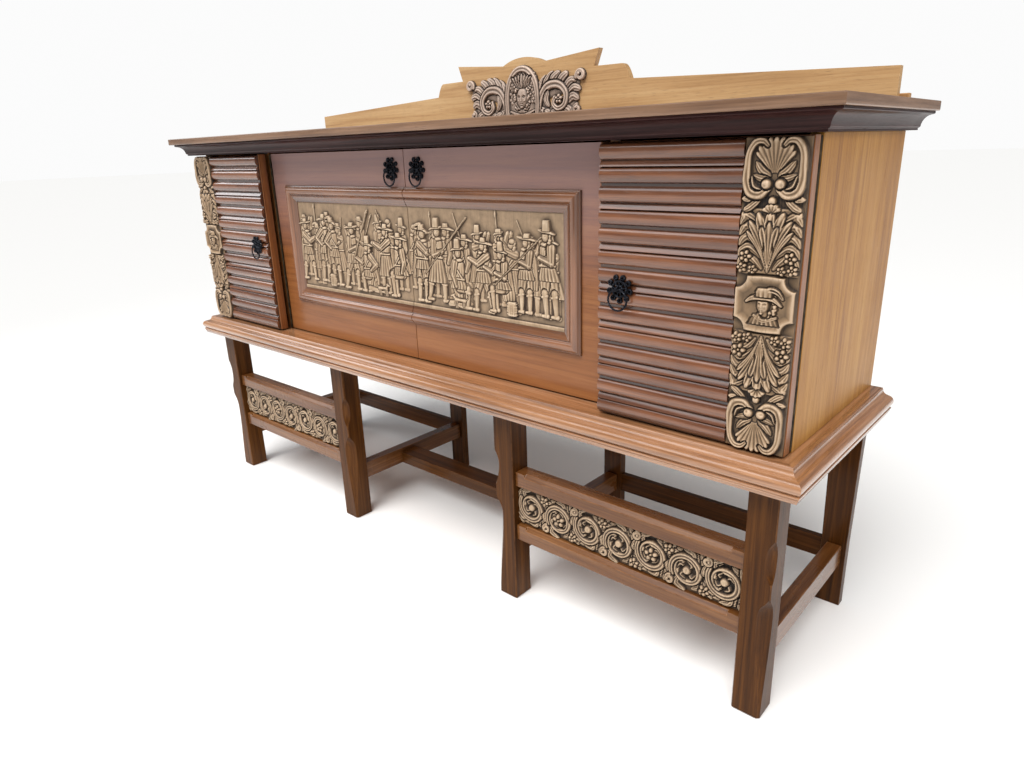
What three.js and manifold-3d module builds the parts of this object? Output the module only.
// Carved oak sideboard buffet: a four-door cabinet on an eight-legged stand, with a gallery board.
// Millimetres, +Z up. The front faces -Y, X = 0 is the seam between the centre doors and the floor is Z = 0.
import * as THREE from "three";
import { mergeVertices } from "three/addons/utils/BufferGeometryUtils.js";
import Module from "manifold-3d";

const wasm = await Module();
wasm.setup();

// ---------------------------------------------------------------- driving dimensions
const SIDES = { left: -1, right: 1 };

const FRONT = -294; // front edge of the top board
const CASE_BACK = 261; // back of the case, of the platform and of the top board
const CASE_FRONT = -203; // front edges of the side panels and partitions
const PANEL = 22; // thickness of the panels and door slabs
const THIN = 18; // thickness of the shelves, boards and back rails

const STAND_TOP = 508;
const PLATFORM_TOP = 565;
const CASE_TOP = 1100;
const BOARD_BOTTOM = 1134;
const BOARD_TOP = 1152;

const TOP_HALF = 1050; // half the width of the top board
const PLATFORM_HALF = 1019; // half the width of the platform's flat top
const PLATFORM_FRONT = -261;
const CORNICE_HALF = 1016; // half the width of the cornice at its foot
const CORNICE_FRONT = -253;
const CASE_HALF = 995; // outer face of a side panel
const PARTITION_X = 605.5; // inner face of a partition

const LEG_WIDTH = 58;
const LEG_DEPTH = 58;
const BACK_LEG_DEPTH = 25;
const OUTER_LEG_X = 967;
const INNER_LEG_X = 332;
const LEG_FRONT = -239.5;

const DOOR_BOTTOM = 569;
const DOOR_TOP = 1097;
const SIDE_DOOR_BACK = -214;
const SIDE_DOOR_OUTER = 994;
const SIDE_DOOR_FACE = SIDE_DOOR_BACK - PANEL;
const RIB_PROUD = 12;
const PILASTER_PROUD = 20;
const PILASTER_INNER = 888.5;
const PILASTER_OUTER = 992;
const CENTRE_DOOR_FACE = -198;
const CENTRE_DOOR_EDGE = 603.25;
const SEAM = 1; // half the gap between the centre doors

const FRAME_HALF = 536; // outer edge of the moulding round the relief
const FRAME_BOTTOM = 665;
const FRAME_TOP = 1008;
const FRAME_WIDTH = 46;
const FRAME_PROUD = 13;
const RECESS = 6; // how far the relief is let into the door
const RELIEF_THICK = 15;
const RELIEF_GROUND = 5; // thickness of the relief's plain ground

const ROSETTE_RADIUS = 31;
const RING_RADIUS = 20.2; // to the middle of the ring's wire
const WIRE_RADIUS = 2.6;
const PIVOT_OUT = 9.5; // from the back of the rosette to the middle of the ring's wire

// ---------------------------------------------------------------- materials
const wood = (color, roughness) => new THREE.MeshStandardMaterial({ color, roughness, metalness: 0 });
const darkOak = () => wood(0x6e4430, 0.45);
const redOak = () => wood(0x7a4a32, 0.4);
const honeyOak = () => wood(0xb0854f, 0.5);
const carvedOak = () => wood(0xa3835a, 0.65);
const legOak = () => wood(0x6b4426, 0.5);
const innerWood = () => wood(0x9c7446, 0.7);
const metal = (color, roughness) => new THREE.MeshStandardMaterial({ color, roughness, metalness: 0.9 });
const blackIron = () => metal(0x17171a, 0.5);
const brass = () => metal(0x8a6f3c, 0.45);

// ---------------------------------------------------------------- helpers
const sideboard = new THREE.Group();

function add(name, geometry, material, x = 0, y = 0, z = 0) {
  const mesh = new THREE.Mesh(geometry, material);
  mesh.name = name;
  mesh.position.set(x, y, z);
  sideboard.add(mesh);
  return mesh;
}

// Two ends in rising order, whichever side of the middle they are on.
const span = (a, b) => [Math.min(a, b), Math.max(a, b)];

// A box between two corners, given as low and high along each axis.
function board(name, material, [x0, x1], [y0, y1], [z0, z1]) {
  const geometry = new THREE.BoxGeometry(x1 - x0, y1 - y0, z1 - z0);
  return add(name, geometry, material, (x0 + x1) / 2, (y0 + y1) / 2, (z0 + z1) / 2);
}

// Extrudes an outline drawn in X and Z from y0 to y1.
function prismAlongY(shape, y0, y1, curveSegments = 6) {
  const geometry = new THREE.ExtrudeGeometry(shape, { depth: y1 - y0, bevelEnabled: false, curveSegments });
  return geometry.rotateX(Math.PI / 2).translate(0, y1, 0);
}

// Extrudes an outline drawn in Y and Z from x0 to x1.
function prismAlongX(shape, x0, x1) {
  const geometry = new THREE.ExtrudeGeometry(shape, { depth: x1 - x0, bevelEnabled: false });
  const turn = new THREE.Matrix4().set(0, 0, 1, 0, 1, 0, 0, 0, 0, 1, 0, 0, 0, 0, 0, 1);
  return geometry.applyMatrix4(turn).translate(x0, 0, 0);
}

function box(x0, x1, y0, y1, z0, z1) {
  const geometry = new THREE.BoxGeometry(x1 - x0, y1 - y0, z1 - z0);
  return geometry.translate((x0 + x1) / 2, (y0 + y1) / 2, (z0 + z1) / 2);
}

// A closed geometry as a solid that can be cut and joined.
function solid(geometry) {
  const bare = geometry.index ? geometry.toNonIndexed() : geometry.clone();
  bare.deleteAttribute("normal");
  bare.deleteAttribute("uv");
  const merged = mergeVertices(bare, 1e-3);
  const mesh = new wasm.Mesh({
    numProp: 3,
    vertProperties: new Float32Array(merged.attributes.position.array),
    triVerts: new Uint32Array(merged.index.array),
  });
  return new wasm.Manifold(mesh);
}

function geometryOf(manifold) {
  const mesh = manifold.getMesh();
  const geometry = new THREE.BufferGeometry();
  geometry.setAttribute("position", new THREE.BufferAttribute(new Float32Array(mesh.vertProperties), 3));
  geometry.setIndex(new THREE.BufferAttribute(new Uint32Array(mesh.triVerts), 1));
  const flat = geometry.toNonIndexed();
  flat.computeVertexNormals();
  return flat;
}

const vectors = (pairs) => pairs.map(([a, b]) => new THREE.Vector2(a, b));
const outline = (pairs) => new THREE.Shape(vectors(pairs));

// Points on an arc, from one angle to another in degrees, anticlockwise when `to` is the larger.
function arc(cx, cy, rx, ry, from, to, steps) {
  const points = [];
  for (let i = 0; i <= steps; i++) {
    const angle = THREE.MathUtils.degToRad(from + ((to - from) * i) / steps);
    points.push([cx + rx * Math.cos(angle), cy + ry * Math.sin(angle)]);
  }
  return points;
}

// A slab whose edge profile runs round the front and both ends and is mitred at the corners.
// `edge` lists [outward, z] from the top of the edge to its foot.
function mouldedSlab(edge, half, front) {
  const rightEdge = edge.map(([out, z]) => [half + out, z]);
  const leftEdge = edge.map(([out, z]) => [-half - out, z]).reverse();
  const frontEdge = edge.map(([out, z]) => [front - out, z]);
  const [top, foot] = [edge[0][1], edge.at(-1)[1]];
  const spare = 100; // how far each prism runs past the other before they are intersected
  const endToEnd = solid(prismAlongY(outline([...rightEdge, ...leftEdge]), front - spare, CASE_BACK + spare));
  const section = outline([...frontEdge, [CASE_BACK, foot], [CASE_BACK, top]]);
  const frontToBack = solid(prismAlongX(section, -half - spare, half + spare));
  return endToEnd.intersect(frontToBack);
}

// A slab standing in X and Z with its back at Y = 0, whose front is raised towards -Y.
// `across` and `up` count its cells; `rise` gives the height of the carving at a point in 0..1 and 0..1;
// `place` turns that point into X and Z.
function carvedSlab(across, up, rise, place) {
  const geometry = new THREE.BoxGeometry(1, 1, 1, across, 1, up);
  const position = geometry.attributes.position;
  for (let i = 0; i < position.count; i++) {
    const u = position.getX(i) + 0.5;
    const v = position.getZ(i) + 0.5;
    const [x, z] = place(u, v);
    const isFront = position.getY(i) < 0;
    position.setXYZ(i, x, isFront ? -rise(u, v) : 0, z);
  }
  const stock = solid(geometry);
  return geometryOf(stock.add(stock));
}

// Highest of a set of domes [x, z, radius along x, radius along z, height] over a ground height.
function domes(list, ground) {
  return (x, z) => {
    let height = ground;
    for (const [cx, cz, rx, rz, tall] of list) {
      const r2 = ((x - cx) / rx) ** 2 + ((z - cz) / rz) ** 2;
      if (r2 < 1) height = Math.max(height, ground + (tall - ground) * Math.sqrt(1 - r2));
    }
    return height;
  };
}

// ---------------------------------------------------------------- stand
// A front leg is square, with a short and a long scoop cut across one of its front corners.
// Scoop depths are measured along each of the two faces that meet there.
const UPPER_HOLLOW = { top: 410, deepest: 358, bottom: 303, depth: 16 };
const LOWER_HOLLOW = { top: 285, deepest: 222, depth: 23, depthAtFoot: 5 };
const CORNER = 0.6; // scoop depth that is left between the two scoops
const CUTTER_SPARE = 10; // how far the cutter reaches past the leg
function scoopOutline() {
  const at = (depth) => depth * Math.SQRT1_2;
  const shape = new THREE.Shape();
  const upper = UPPER_HOLLOW;
  const lower = LOWER_HOLLOW;
  shape.moveTo(-CUTTER_SPARE, upper.top);
  shape.lineTo(-CUTTER_SPARE, -CUTTER_SPARE);
  shape.lineTo(at(lower.depthAtFoot), -CUTTER_SPARE);
  shape.lineTo(at(lower.depthAtFoot), 0);
  shape.bezierCurveTo(
    at(lower.depthAtFoot + 3), 80,
    at(lower.depth), lower.deepest - 72,
    at(lower.depth), lower.deepest,
  );
  shape.bezierCurveTo(
    at(lower.depth), lower.deepest + 42,
    at(lower.depthAtFoot), lower.top - 23,
    at(CORNER), lower.top,
  );
  shape.lineTo(at(CORNER), upper.bottom);
  shape.bezierCurveTo(
    at(upper.depth / 2), upper.bottom + 15,
    at(upper.depth), upper.deepest - 30,
    at(upper.depth), upper.deepest,
  );
  shape.bezierCurveTo(
    at(upper.depth), upper.deepest + 34,
    at(CORNER), upper.top - 14,
    at(CORNER), upper.top,
  );
  shape.closePath();
  return shape;
}

// `side` is 1 when the scooped corner is on the +X side of the leg, and -1 on the other.
function frontLeg(side) {
  const half = LEG_WIDTH / 2;
  const square = solid(box(-half, half, LEG_FRONT, LEG_FRONT + LEG_DEPTH, 0, STAND_TOP));
  const cutter = prismAlongY(scoopOutline(), -LEG_DEPTH, LEG_DEPTH);
  cutter.rotateZ(THREE.MathUtils.degToRad(side > 0 ? 135 : 45)).translate(side * half, LEG_FRONT, 0);
  return geometryOf(square.subtract(solid(cutter)));
}

// An outer back leg spreads above its rail, more on its inner side.
const SPREAD = { from: 170, outward: 5, inward: 7 };
function spreadLeg(side) {
  const half = LEG_WIDTH / 2;
  const edges = [[-half, 0], [half, 0], [half, SPREAD.from]];
  edges.push([half + SPREAD.outward, STAND_TOP], [-half - SPREAD.inward, STAND_TOP], [-half, SPREAD.from]);
  return prismAlongY(outline(edges.map(([x, z]) => [side * x, z])), BACK_LEG_FRONT, CASE_BACK);
}

const BACK_LEG_FRONT = CASE_BACK - BACK_LEG_DEPTH;
for (const [side, s] of Object.entries(SIDES)) {
  add(`leg_front_${side}_outer`, frontLeg(s), legOak(), s * OUTER_LEG_X);
  add(`leg_front_${side}_inner`, frontLeg(-s), legOak(), s * INNER_LEG_X);
  add(`leg_back_${side}_outer`, spreadLeg(s), legOak(), s * OUTER_LEG_X);
  const edges = [s * INNER_LEG_X - LEG_WIDTH / 2, s * INNER_LEG_X + LEG_WIDTH / 2];
  board(`leg_back_${side}_inner`, legOak(), edges, [BACK_LEG_FRONT, CASE_BACK], [0, STAND_TOP]);
}

const RAIL_INNER = INNER_LEG_X + LEG_WIDTH / 2;
const RAIL_OUTER = OUTER_LEG_X - LEG_WIDTH / 2;
const RAIL_SET_BACK = 10.5; // behind the front faces of the legs
const RAIL_FRONT = LEG_FRONT + RAIL_SET_BACK;
const RAIL_DEPTH = 42;
const RAIL_BACK = RAIL_FRONT + RAIL_DEPTH;
const UPPER_RAIL = [315, 352];
const LOWER_RAIL = [169, 209];
const CHAMFER = { width: 9, stop: 28 }; // along the top front corner, ending short of the legs

function frontRail([bottom, top]) {
  const half = (RAIL_OUTER - RAIL_INNER) / 2;
  const rail = solid(box(-half, half, RAIL_FRONT, RAIL_BACK, bottom, top));
  const reach = CHAMFER.width * Math.SQRT1_2;
  const cutter = box(CHAMFER.stop - half, half - CHAMFER.stop, -reach, reach, -3 * reach, 3 * reach);
  cutter.rotateX(-Math.PI / 4).translate(0, RAIL_FRONT, top);
  return geometryOf(rail.subtract(solid(cutter)));
}

// Scrolling foliage: big curls that turn up and down in turn, each round a rosette.
const FRIEZE = { thick: 22, ground: 8, setBack: 2, curls: 6, stagger: 6 };
const CURL = { radius: 34, stem: 9, rosette: 15 };
const FRIEZE_HEIGHT = UPPER_RAIL[0] - LOWER_RAIL[1];
function friezeRise(u, v) {
  const along = u * FRIEZE.curls;
  const index = Math.floor(along);
  const x = ((along - index - 0.5) * (RAIL_OUTER - RAIL_INNER)) / FRIEZE.curls;
  const z = (v - 0.5) * FRIEZE_HEIGHT + (index % 2 ? -FRIEZE.stagger : FRIEZE.stagger);
  const r = Math.hypot(x, z);
  const curl = Math.exp(-(((r - CURL.radius) / CURL.stem) ** 2));
  const rosette = Math.exp(-((r / CURL.rosette) ** 2));
  const inside = Math.min(u, v, 1 - u, 1 - v) > 0.001 ? 1 : 0;
  return FRIEZE.ground + inside * (FRIEZE.thick - FRIEZE.ground) * Math.max(curl, rosette);
}

const CROSS_HALF = 17;
const CROSS_RAIL = [115, 165];
const OUTER_CROSS_X = 969;
const BACK_RAIL = [114, 168];
const BACK_RAIL_FRONT = CASE_BACK - 21;
for (const [side, s] of Object.entries(SIDES)) {
  const middle = (s * (RAIL_INNER + RAIL_OUTER)) / 2;
  const ends = span(s * RAIL_INNER, s * RAIL_OUTER);
  add(`rail_front_${side}_upper`, frontRail(UPPER_RAIL), legOak(), middle);
  add(`rail_front_${side}_lower`, frontRail(LOWER_RAIL), legOak(), middle);
  const place = (u, v) => [(u - 0.5) * (RAIL_OUTER - RAIL_INNER), v * FRIEZE_HEIGHT];
  const frieze = carvedSlab(42, 9, friezeRise, place);
  const friezeBack = RAIL_FRONT + FRIEZE.setBack + FRIEZE.thick;
  add(`frieze_${side}`, frieze, carvedOak(), middle, friezeBack, LOWER_RAIL[1]);
  board(`rail_back_${side}`, legOak(), ends, [BACK_RAIL_FRONT, BACK_RAIL_FRONT + THIN], BACK_RAIL);
  for (const [name, x] of [["outer", OUTER_CROSS_X], ["inner", INNER_LEG_X]]) {
    const edges = [s * x - CROSS_HALF, s * x + CROSS_HALF];
    board(`stretcher_${side}_${name}`, legOak(), edges, [LEG_FRONT + LEG_DEPTH, BACK_LEG_FRONT], CROSS_RAIL);
  }
}
const LONG_END = INNER_LEG_X - CROSS_HALF;
const LONG_STRETCHER = { y: [-34, 31], z: [116, 152] };
board("stretcher_long", legOak(), [-LONG_END, LONG_END], LONG_STRETCHER.y, LONG_STRETCHER.z);

// ---------------------------------------------------------------- platform, case and top
// The platform's edge: an incised step, a cove, a large bead and two fillets over a plain band.
const COVE = { out: 14, z: PLATFORM_TOP - 3, radius: 12 };
const BEAD = { out: 13, z: PLATFORM_TOP - 28.5, radius: 13 };
const platformEdge = [
  [0, PLATFORM_TOP],
  [1, PLATFORM_TOP - 2.5],
  ...arc(COVE.out, COVE.z, COVE.radius, COVE.radius, 180, 270, 5),
  ...arc(BEAD.out, BEAD.z, BEAD.radius, BEAD.radius, 80, -60, 9),
  [22.5, STAND_TOP + 15.5],
  [22.5, STAND_TOP + 11.5],
  [20.5, STAND_TOP + 11],
  [20.5, STAND_TOP + 6.5],
  [18, STAND_TOP],
];
add("platform", geometryOf(mouldedSlab(platformEdge, PLATFORM_HALF, PLATFORM_FRONT)), redOak());

const CASE_INSIDE = CASE_HALF - PANEL;
const CASE_HEIGHT = [PLATFORM_TOP, CASE_TOP];
const BACK_PANEL = [CASE_BACK - 8, CASE_BACK];
const SHELF_DEPTH = [-150, BACK_PANEL[0]];
const SHELF = [818, 818 + THIN];
for (const [side, s] of Object.entries(SIDES)) {
  const panel = span(s * CASE_INSIDE, s * CASE_HALF);
  const partition = span(s * PARTITION_X, s * (PARTITION_X + PANEL));
  const bay = span(s * (PARTITION_X + PANEL), s * CASE_INSIDE);
  board(`side_panel_${side}`, honeyOak(), panel, [CASE_FRONT, CASE_BACK], CASE_HEIGHT);
  board(`partition_${side}`, innerWood(), partition, [CASE_FRONT, BACK_PANEL[0]], CASE_HEIGHT);
  board(`shelf_${side}`, innerWood(), bay, SHELF_DEPTH, SHELF);
}
board("shelf_centre", innerWood(), [-PARTITION_X, PARTITION_X], SHELF_DEPTH, SHELF);
board("back_panel", innerWood(), [-CASE_INSIDE, CASE_INSIDE], BACK_PANEL, CASE_HEIGHT);

// The cornice: a fillet, a cove and a flat, round the front and both ends of the case's top panel.
const CORNICE_CORE_HALF = 955;
const CORNICE_CORE_FRONT = -150;
const corniceEdge = [
  [27, BOARD_BOTTOM],
  [27, BOARD_BOTTOM - 5],
  [24, BOARD_BOTTOM - 5.5],
  ...arc(24, CASE_TOP + 5, 20, 23, 95, 175, 6),
  [0, CASE_TOP + 4.5],
  [0, CASE_TOP],
];
const coreX = [-CORNICE_CORE_HALF, CORNICE_CORE_HALF];
const core = box(...coreX, CORNICE_CORE_FRONT, CASE_BACK + 50, CASE_TOP - 50, BOARD_BOTTOM + 50);
const cornice = mouldedSlab(corniceEdge, CORNICE_HALF, CORNICE_FRONT).subtract(solid(core));
add("cornice", geometryOf(cornice), redOak());
board("case_top", innerWood(), coreX, [CORNICE_CORE_FRONT, CASE_BACK], [CASE_TOP, BOARD_BOTTOM]);

const EASED = 2;
const boardEdge = [
  [-EASED, BOARD_TOP],
  [0, BOARD_TOP - EASED],
  [0, BOARD_BOTTOM + EASED],
  [-EASED, BOARD_BOTTOM],
];
add("top_board", geometryOf(mouldedSlab(boardEdge, TOP_HALF, FRONT)), redOak());

// The gallery board stands behind the top board: low wings that rise inwards, a hollowed step and a
// plaque whose corners lean out on either side of a low arch.
const GALLERY = { back: CASE_BACK + THIN, half: 970, bottom: CASE_TOP + 4, top: 1330 };
const WING = { outerTop: 1222, innerTop: 1248, innerX: 350 };
const STEP = { top: 1285, outerX: 326, innerX: 240 };
const PLAQUE = { cornerX: 256, cornerTop: 1328, archX: 75, archFoot: 1313 };
function galleryOutline() {
  const shape = new THREE.Shape();
  shape.moveTo(-GALLERY.half, GALLERY.bottom);
  shape.lineTo(GALLERY.half, GALLERY.bottom);
  shape.lineTo(GALLERY.half, WING.outerTop);
  shape.lineTo(WING.innerX, WING.innerTop);
  shape.quadraticCurveTo(STEP.outerX + 12, STEP.top - 2, STEP.outerX, STEP.top);
  shape.lineTo(STEP.innerX, STEP.top + 1);
  shape.lineTo(PLAQUE.cornerX, PLAQUE.cornerTop);
  shape.lineTo(PLAQUE.archX, PLAQUE.archFoot);
  shape.quadraticCurveTo(PLAQUE.archX * 0.56, GALLERY.top, 0, GALLERY.top);
  shape.quadraticCurveTo(-PLAQUE.archX * 0.56, GALLERY.top, -PLAQUE.archX, PLAQUE.archFoot);
  shape.lineTo(-PLAQUE.cornerX, PLAQUE.cornerTop);
  shape.lineTo(-STEP.innerX, STEP.top + 1);
  shape.lineTo(-STEP.outerX, STEP.top);
  shape.quadraticCurveTo(-STEP.outerX - 12, STEP.top - 2, -WING.innerX, WING.innerTop);
  shape.lineTo(-GALLERY.half, WING.outerTop);
  shape.closePath();
  return shape;
}
const BATTEN = { half: 988, thick: 15, z: [CASE_TOP, 1171] };
const battenY = [GALLERY.back, GALLERY.back + BATTEN.thick];
add("gallery_board", prismAlongY(galleryOutline(), CASE_BACK, GALLERY.back), honeyOak());
board("gallery_batten", innerWood(), [-BATTEN.half, BATTEN.half], battenY, BATTEN.z);

// The crest: a mask between leafy scrolls, on a panel that widens upwards.
const CREST = { bottomHalf: 176, topHalf: 219, side: 134, peak: 27, thick: 14 };
const crestDomes = domes(
  [
    [0, 0.56, 0.13, 0.42, CREST.thick],
    [-0.32, 0.7, 0.17, 0.28, 11],
    [0.32, 0.7, 0.17, 0.28, 11],
    [-0.58, 0.35, 0.2, 0.3, 10],
    [0.58, 0.35, 0.2, 0.3, 10],
    [-0.82, 0.78, 0.15, 0.22, 12],
    [0.82, 0.78, 0.15, 0.22, 12],
  ],
  4,
);
const crestRise = (u, v) => crestDomes(2 * u - 1, v);
function crestPlace(u, v) {
  const half = THREE.MathUtils.lerp(CREST.bottomHalf, CREST.topHalf, v);
  const top = CREST.side + CREST.peak * Math.max(0, Math.cos((2 * u - 1) * Math.PI));
  return [(2 * u - 1) * half, v * top];
}
add("crest_carving", carvedSlab(28, 9, crestRise, crestPlace), carvedOak(), 0, CASE_BACK, BOARD_TOP);

// ---------------------------------------------------------------- side doors
// Seven repeats of two round ribs with a sharp ledge between them and a groove above.
const RIB_BOTTOM = 569.5;
const RIB_TOP = 1096.5;
const RIB_REPEATS = 7;
const RIB_SLAB = 3; // thickness left under the grooves
const RIB = 29; // height of one rib
const GROOVE = 2.5; // above and below each pair of ribs
const LEDGE_EDGE = 41; // from the top of a repeat down to the sharp edge of its ledge
function ribOutline() {
  const repeat = (RIB_TOP - RIB_BOTTOM) / RIB_REPEATS;
  const y = (proud) => SIDE_DOOR_FACE - proud;
  const rib = (top) => arc(y(RIB_SLAB), top - RIB / 2, RIB_PROUD - RIB_SLAB, RIB / 2, 90, 270, 6);
  const points = [[SIDE_DOOR_FACE, RIB_TOP]];
  for (let i = 0; i < RIB_REPEATS; i++) {
    const top = RIB_TOP - i * repeat;
    points.push([y(RIB_SLAB), top]);
    points.push(...rib(top - GROOVE));
    points.push([y(RIB_PROUD - 1), top - LEDGE_EDGE]);
    points.push([y(RIB_SLAB), top - LEDGE_EDGE - 1]);
    points.push(...rib(top - repeat + GROOVE + RIB));
  }
  points.push([y(RIB_SLAB), RIB_BOTTOM], [SIDE_DOOR_FACE, RIB_BOTTOM]);
  return outline(points);
}

// Scrolls, a spread leaf, a square medallion with a bust, hanging leaves and scrolls again.
const PILASTER_HEIGHT = 524;
const pilasterDomes = domes(
  [
    [-28, 492, 20, 26, 17],
    [28, 492, 20, 26, 17],
    [0, 470, 16, 34, 15],
    [0, 402, 44, 40, 13],
    [-36, 372, 14, 30, 15],
    [36, 372, 14, 30, 15],
    [0, 345, 20, 48, 17],
    [-42, 322, 11, 15, 14],
    [42, 322, 11, 15, 14],
    [0, 266, 27, 38, PILASTER_PROUD],
    [0, 292, 40, 9, 18],
    [-38, 200, 13, 18, 14],
    [38, 200, 13, 18, 14],
    [0, 172, 22, 52, 17],
    [-34, 142, 15, 30, 15],
    [34, 142, 15, 30, 15],
    [-28, 52, 22, 36, 17],
    [28, 52, 22, 36, 17],
    [0, 60, 16, 30, 15],
  ],
  6,
);
const PILASTER_WIDTH = PILASTER_OUTER - PILASTER_INNER;
const MEDALLION = { halfWidth: 47, halfHeight: 50, proud: 10 };
const pilasterPlace = (u, v) => [(u - 0.5) * PILASTER_WIDTH, v * PILASTER_HEIGHT];
function pilasterRise(u, v) {
  const [x, z] = pilasterPlace(u, v);
  const up = Math.abs(z - PILASTER_HEIGHT / 2);
  const onMedallion = Math.abs(x) < MEDALLION.halfWidth && up < MEDALLION.halfHeight;
  return Math.max(pilasterDomes(x, z), onMedallion ? MEDALLION.proud : 0);
}

// A piano hinge's fixed half: a full-height knuckle joined to the leaf screwed to the case.
function pianoHinge(knuckleX, knuckleY, radius, leaf) {
  const knuckle = new THREE.CylinderGeometry(radius, radius, DOOR_TOP - DOOR_BOTTOM - 4, 12);
  knuckle.rotateX(Math.PI / 2).translate(knuckleX, knuckleY, (DOOR_TOP + DOOR_BOTTOM) / 2);
  return geometryOf(solid(knuckle).add(solid(leaf)));
}

const SIDE_HINGE = { x: 992, y: -209.75, radius: 3.5, leafX: [974, 993.5] };
const CENTRE_HINGE = { x: 602, y: -201.5, radius: 3, leafX: [604, PARTITION_X] };
const HINGE_Z = [DOOR_BOTTOM + 4, DOOR_TOP - 4];

for (const [side, s] of Object.entries(SIDES)) {
  const slab = span(s * PARTITION_X, s * SIDE_DOOR_OUTER);
  board(`door_${side}_slab`, redOak(), slab, [SIDE_DOOR_FACE, SIDE_DOOR_BACK], [DOOR_BOTTOM, DOOR_TOP]);
  const ribs = span(s * PARTITION_X, s * (PILASTER_INNER - 0.5));
  add(`door_${side}_ribs`, prismAlongX(ribOutline(), ...ribs), darkOak());
  const pilaster = carvedSlab(10, 48, pilasterRise, pilasterPlace);
  const middle = (s * (PILASTER_INNER + PILASTER_OUTER)) / 2;
  add(`door_${side}_pilaster`, pilaster, carvedOak(), middle, SIDE_DOOR_FACE, DOOR_BOTTOM + 2);
  const { x, y, radius, leafX } = SIDE_HINGE;
  const leaf = box(...span(s * leafX[0], s * leafX[1]), CASE_FRONT - 3.5, CASE_FRONT, ...HINGE_Z);
  add(`hinge_${side}`, pianoHinge(s * x, y, radius, leaf), brass());
}

// ---------------------------------------------------------------- centre doors
// The moulding's section: [inward from the outer edge, height above the door].
const frameSection = [
  [0, 0],
  [0, 4],
  [3, 8],
  ...arc(15, 4, 11, FRAME_PROUD - 4, 150, 30, 6),
  [27, 7],
  [30, 8.5],
  [FRAME_WIDTH, 1],
  [FRAME_WIDTH, 0],
];

// One straight length of moulding along X from 0 to `length`, its inner edge towards +Z.
// A mitred end is cut back by as much as the section reaches inwards.
function mouldingLength(length, mitreStart, mitreEnd) {
  const section = outline(frameSection.map(([inward, height]) => [-height, inward]));
  const geometry = prismAlongX(section, 0, length);
  const position = geometry.attributes.position;
  for (let i = 0; i < position.count; i++) {
    const inward = position.getZ(i);
    const atStart = position.getX(i) < length / 2;
    const cut = atStart ? mitreStart * inward : -mitreEnd * inward;
    position.setX(i, position.getX(i) + cut);
  }
  return geometry;
}

// The half of the frame on one door: foot and head from the seam to the corner, and the upright.
function frameHalf(s) {
  const length = FRAME_HALF - SEAM;
  const height = FRAME_TOP - FRAME_BOTTOM;
  const foot = solid(mouldingLength(length, 0, 1));
  const head = foot.mirror([0, 0, 1]).translate([0, 0, height]);
  const upright = solid(mouldingLength(height, 1, 1).rotateY(-Math.PI / 2).translate(length, 0, 0));
  const half = foot.add(head).add(upright);
  return geometryOf(s > 0 ? half : half.mirror([1, 0, 0]));
}

// A crowd of standing figures in wide hats over a narrow ledge of ground.
const RELIEF = {
  width: FRAME_HALF - FRAME_WIDTH - SEAM,
  height: FRAME_TOP - FRAME_BOTTOM - 2 * FRAME_WIDTH,
};
const FIGURES = 9;
function reliefRise(u, v) {
  const along = u * FIGURES;
  const index = Math.floor(along);
  const lean = 0.12 * Math.sin(3 * index);
  const x = Math.abs(along - index - 0.5 - lean * (v - 0.5));
  const tall = 0.8 + 0.08 * Math.sin(5 * index);
  const bump = (centre, halfWidth, halfHeight) => {
    const r2 = (x / halfWidth) ** 2 + ((v - centre * tall) / halfHeight) ** 2;
    return Math.sqrt(Math.max(0, 1 - r2));
  };
  const hat = bump(1, 0.42, 0.05);
  const head = bump(0.9, 0.2, 0.09);
  const coat = bump(0.6, 0.42, 0.28);
  const legs = bump(0.25, 0.34, 0.26);
  const ledge = v < 0.08 ? 0.5 : 0;
  return RELIEF_GROUND + (RELIEF_THICK - RELIEF_GROUND) * Math.max(hat, head, coat, legs, ledge);
}
const reliefPlace = (u, v) => [u * RELIEF.width, v * RELIEF.height];

for (const [side, s] of Object.entries(SIDES)) {
  const slabX = span(s * SEAM, s * CENTRE_DOOR_EDGE);
  const blank = box(...slabX, CENTRE_DOOR_FACE, CENTRE_DOOR_FACE + PANEL, DOOR_BOTTOM, DOOR_TOP);
  const recessX = span(-s * SEAM, s * (SEAM + RELIEF.width));
  const recessZ = [FRAME_BOTTOM + FRAME_WIDTH, FRAME_TOP - FRAME_WIDTH];
  const recess = box(...recessX, CENTRE_DOOR_FACE - PANEL, CENTRE_DOOR_FACE + RECESS, ...recessZ);
  add(`door_centre_${side}_slab`, geometryOf(solid(blank).subtract(solid(recess))), redOak());
  add(`door_centre_${side}_frame`, frameHalf(s), redOak(), s * SEAM, CENTRE_DOOR_FACE, FRAME_BOTTOM);
  const reliefX = s > 0 ? SEAM : -SEAM - RELIEF.width;
  const relief = carvedSlab(30, 16, reliefRise, reliefPlace);
  add(`door_centre_${side}_relief`, relief, carvedOak(), reliefX, CENTRE_DOOR_FACE + RECESS, recessZ[0]);
  const { x, y, radius, leafX } = CENTRE_HINGE;
  const leaf = box(...span(s * leafX[0], s * leafX[1]), CASE_FRONT, CASE_FRONT + PANEL, ...HINGE_Z);
  add(`hinge_centre_${side}`, pianoHinge(s * x, y, radius, leaf), brass());
}

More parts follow.
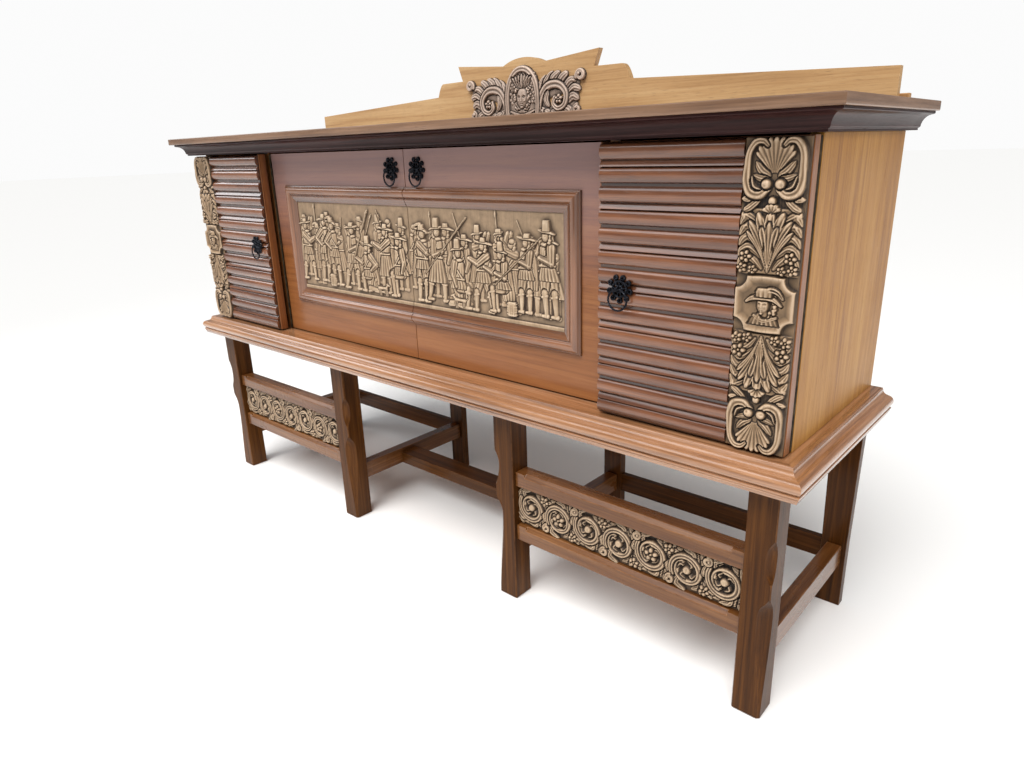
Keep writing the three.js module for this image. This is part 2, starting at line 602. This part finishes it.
// ---------------------------------------------------------------- ring pulls
// A pierced rosette with a scalloped rim and an eye, which the ring hangs through.
const LOBES = 12;
const SCALLOP = 3; // depth of the hollows between the lobes
const ROSETTE_PLATE = 3;
const PIERCING = { radius: 3, ringRadius: 21 };
const EYE = { radius: 6.2, bore: 3.5, width: 5 };
const domeProfile = [[0, 0], [15, 0], [14, 4], [8, 5.5], [0, 6]];

// A cylinder along X, centred on the ring's pivot.
function acrossPivot(radius, length, sides) {
  const cylinder = new THREE.CylinderGeometry(radius, radius, length, sides);
  return cylinder.rotateZ(Math.PI / 2).translate(0, -PIVOT_OUT, 0);
}

function rosette() {
  const steps = LOBES * 4;
  const rimPoints = [];
  for (let i = 0; i < steps; i++) {
    const angle = (2 * Math.PI * i) / steps;
    const radius = ROSETTE_RADIUS - SCALLOP * (1 - Math.abs(Math.cos((LOBES * angle) / 2)));
    rimPoints.push([radius * Math.cos(angle), radius * Math.sin(angle)]);
  }
  const rim = outline(rimPoints);
  for (let i = 0; i < LOBES; i += 2) {
    const angle = (2 * Math.PI * (i + 0.5)) / LOBES;
    const [x, z] = [PIERCING.ringRadius * Math.cos(angle), PIERCING.ringRadius * Math.sin(angle)];
    rim.holes.push(new THREE.Path().absarc(x, z, PIERCING.radius, 0, 2 * Math.PI));
  }
  const plate = solid(prismAlongY(rim, -ROSETTE_PLATE, 0, 4));
  const dome = solid(new THREE.LatheGeometry(vectors(domeProfile), 16).rotateX(Math.PI));
  const eye = solid(acrossPivot(EYE.radius, EYE.width, 16));
  const bore = solid(acrossPivot(EYE.bore, 4 * EYE.width, 12));
  return geometryOf(plate.add(dome).add(eye).subtract(bore));
}

function ring() {
  const section = arc(RING_RADIUS, 0, WIRE_RADIUS, WIRE_RADIUS, 0, 360, 6);
  return new THREE.LatheGeometry(vectors(section), 24).translate(0, 0, -RING_RADIUS);
}

const PULLS = [
  ["", 661, SIDE_DOOR_FACE - RIB_PROUD, 831],
  ["centre_", 48.5, CENTRE_DOOR_FACE, 1051.5],
];
for (const [side, s] of Object.entries(SIDES)) {
  for (const [place, x, face, z] of PULLS) {
    add(`pull_${place}${side}_rosette`, rosette(), blackIron(), s * x, face, z);
    add(`pull_${place}${side}_ring`, ring(), blackIron(), s * x, face - PIVOT_OUT, z);
  }
}

export default sideboard;
